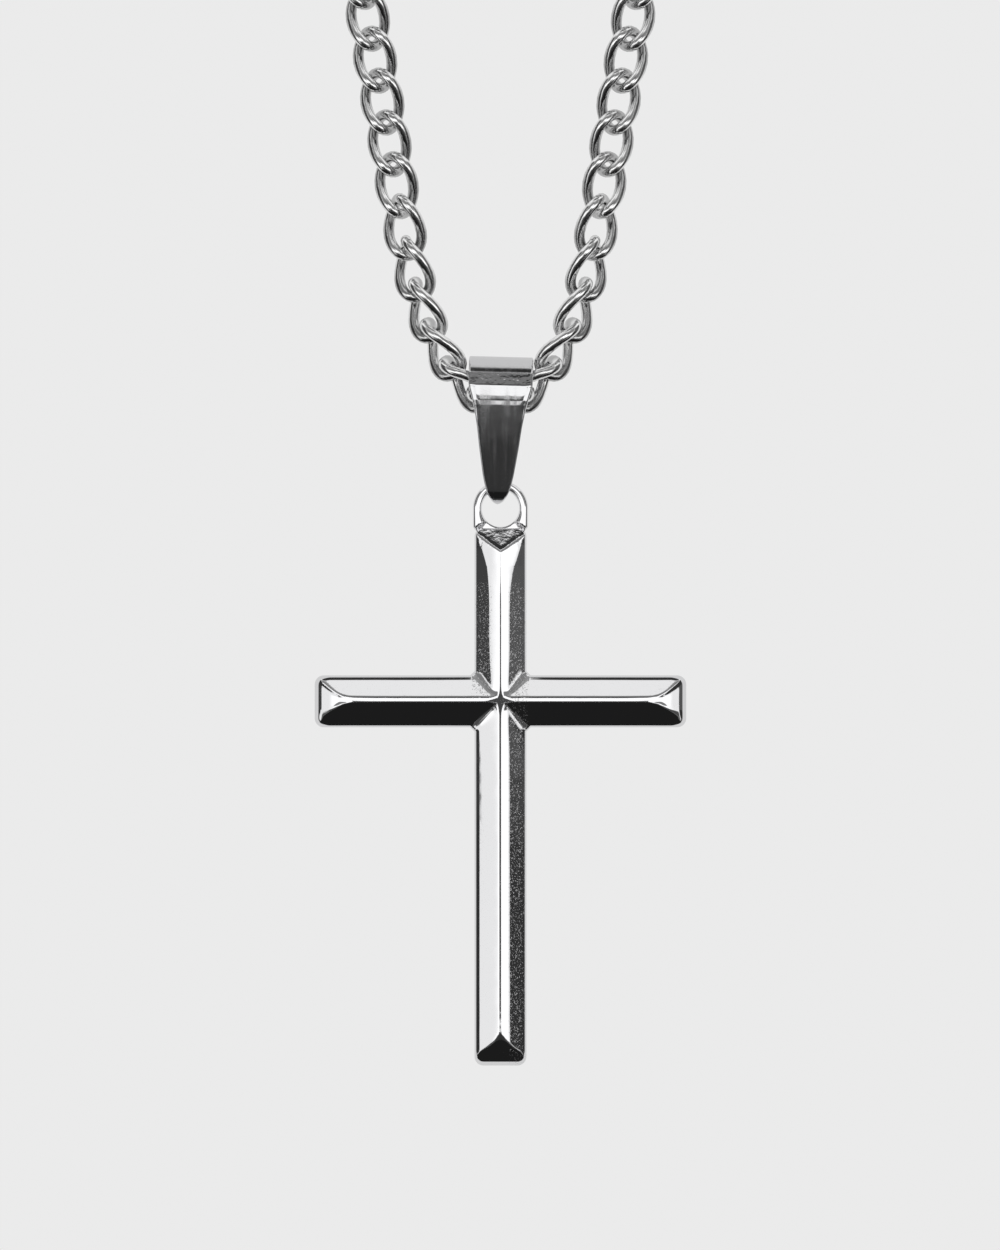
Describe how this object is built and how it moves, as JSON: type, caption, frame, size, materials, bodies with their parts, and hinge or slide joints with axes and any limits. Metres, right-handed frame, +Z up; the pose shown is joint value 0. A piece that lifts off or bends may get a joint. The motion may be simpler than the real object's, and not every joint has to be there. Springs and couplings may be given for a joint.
{
  "type": "cross pendant necklace",
  "caption": "Polished steel cross with hipped, ridged bars, hanging by a folded tapering bail from a curb chain closed by a plain clasp",
  "frame": {"origin": "crown of the chain's loop, in the middle of the clasp, where the necklace hangs", "axes": "+Z up along the upright of the cross, -Y to the front of the cross, +X to the right as seen from the front"},
  "size_m": [0.0794, 0.0056, 0.2792],
  "materials": {
    "polished_steel": "mirror-polished stainless steel",
    "chain_steel": "polished stainless steel wire"
  },
  "bodies": {
    "necklace": {"chain_left": "chain_steel", "chain_right": "chain_steel", "ring_left": "chain_steel", "ring_right": "chain_steel", "clasp": "chain_steel"},
    "bail": {"bail": "polished_steel"},
    "cross": {"cross": "polished_steel"}
  },
  "joints": [
    {"name": "bail_swing", "type": "hinge", "parent": "necklace", "child": "bail", "pos_m": [0, -0.00022, -0.22073], "axis": [1, 0, 0], "range_deg": [-60, 60]},
    {"name": "cross_swing", "type": "hinge", "parent": "bail", "child": "cross", "pos_m": [0, -0.00022, -0.2286], "axis": [1, 0, 0], "range_deg": [-40, 40]}
  ]
}
